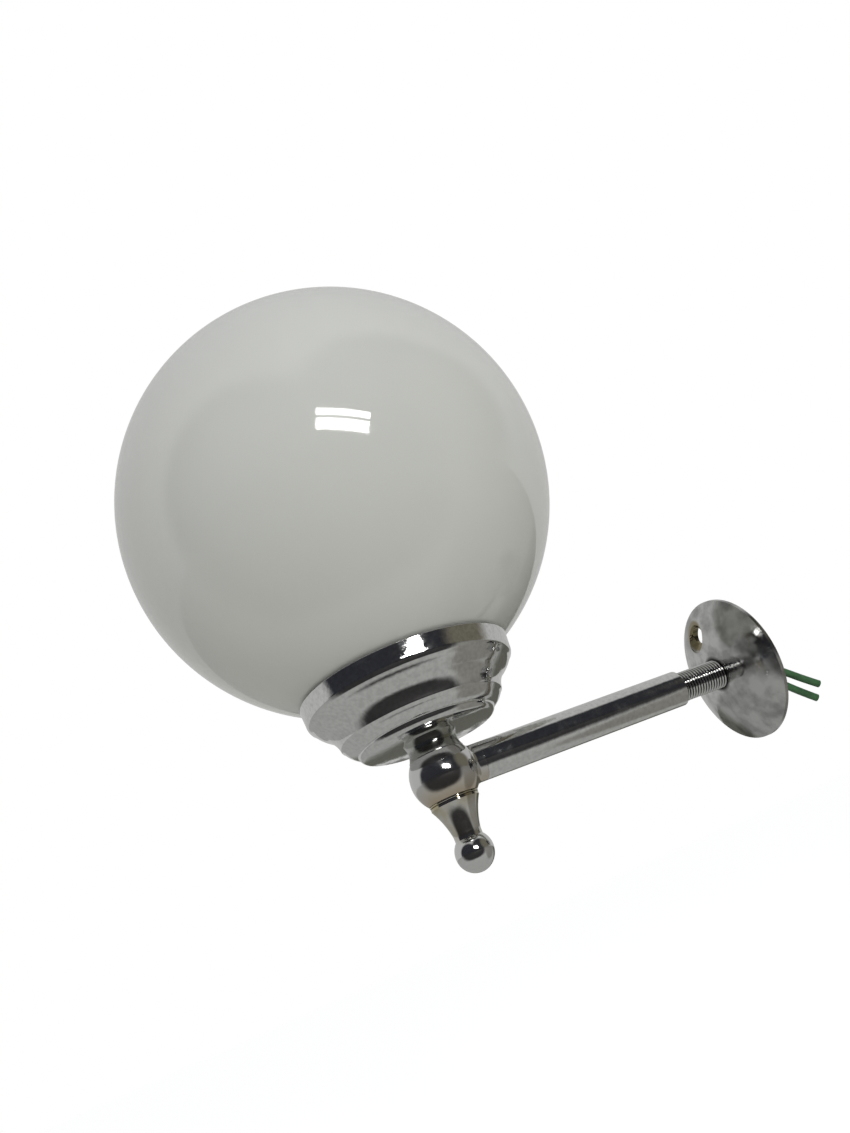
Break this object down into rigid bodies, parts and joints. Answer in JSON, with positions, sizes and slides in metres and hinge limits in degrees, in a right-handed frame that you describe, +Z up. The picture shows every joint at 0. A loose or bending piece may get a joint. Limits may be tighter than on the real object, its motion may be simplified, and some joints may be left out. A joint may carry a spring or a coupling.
{
  "type": "globe wall light",
  "caption": "Wall light with an opal glass globe screwed into a stepped metal cup, carried on a ball elbow with a finial and a round tube arm over a threaded rod from a domed wall plate.",
  "frame": {"origin": "centre of the wall plate's back, in the plane of the wall", "axes": "+Z up along the globe's axis, +Y into the wall, arm along -Y, X along the wall"},
  "size_m": [0.15, 0.2144, 0.2065],
  "materials": {
    "chrome": "polished chrome plate",
    "thread": "nickel-plated thread",
    "zinc": "zinc-plated steel",
    "ring_metal": "turned",
    "soft_ring": "matte",
    "opal_glass": "opal, fire polished",
    "brass": "pressed and turned brass",
    "moulding": "dark heat-proof moulding",
    "wire_green": "smooth wire insulation"
  },
  "bodies": {
    "base": {"wall_plate": "chrome", "plate_nut": "zinc"},
    "arm": {"threaded_rod": "thread", "arm_tube": "chrome", "elbow_ball": "chrome", "neck_collar": "chrome", "gallery_cup": "chrome", "nipple": "thread", "cup_washer": "zinc", "cup_nut": "zinc", "thread_ring": "ring_metal", "holder_cap": "brass", "grub_screw": "zinc", "terminal_block": "moulding", "terminal_screws": "brass", "contact_tubes": "brass", "contact_spring_right": "zinc", "contact_spring_left": "zinc", "bayonet_barrel": "brass", "clamp_ring": "brass", "wire_right": "wire_green", "wire_left": "wire_green", "wire_tail_right": "wire_green", "wire_tail_left": "wire_green"},
    "globe_carrier": {"seat_ring": "soft_ring"},
    "globe": {"globe": "opal_glass"},
    "finial_carrier": {"finial_washer": "chrome"},
    "finial": {"finial": "chrome"},
    "plunger_right": {"contact_plunger_right": "brass"},
    "plunger_left": {"contact_plunger_left": "brass"}
  },
  "joints": [
    {"name": "arm_turn", "type": "hinge", "parent": "base", "child": "arm", "pos_m": [0, 0, 0], "axis": [0, 1, 0], "range_deg": [-180, 180]},
    {"name": "globe_lift", "type": "slide", "parent": "arm", "child": "globe_carrier", "axis": [0, 0, 1], "range_m": [0, 0.01201]},
    {"name": "globe_turn", "type": "hinge", "parent": "globe_carrier", "child": "globe", "pos_m": [0, -0.112, 0.1], "axis": [0, 0, 1], "range_deg": [0, 1080]},
    {"name": "finial_travel", "type": "slide", "parent": "arm", "child": "finial_carrier", "axis": [0, 0, -1], "range_m": [0, 0.00501]},
    {"name": "finial_turn", "type": "hinge", "parent": "finial_carrier", "child": "finial", "pos_m": [0, -0.112, -0.015], "axis": [0, 0, -1], "range_deg": [0, 1800]},
    {"name": "contact_right", "type": "slide", "parent": "arm", "child": "plunger_right", "axis": [0, 0, -1], "range_m": [0, 0.0025], "stiffness_N_per_m": 1500, "springref_m": -0.001, "deforming": ["contact_spring_right"]},
    {"name": "contact_left", "type": "slide", "parent": "arm", "child": "plunger_left", "axis": [0, 0, -1], "range_m": [0, 0.0025], "stiffness_N_per_m": 1500, "springref_m": -0.001, "deforming": ["contact_spring_left"]}
  ],
  "couplings": [
    {"joint": "globe_lift", "follows": "globe_turn", "m_per_rad": 0.00063662},
    {"joint": "finial_travel", "follows": "finial_turn", "m_per_rad": 0.00015915}
  ]
}
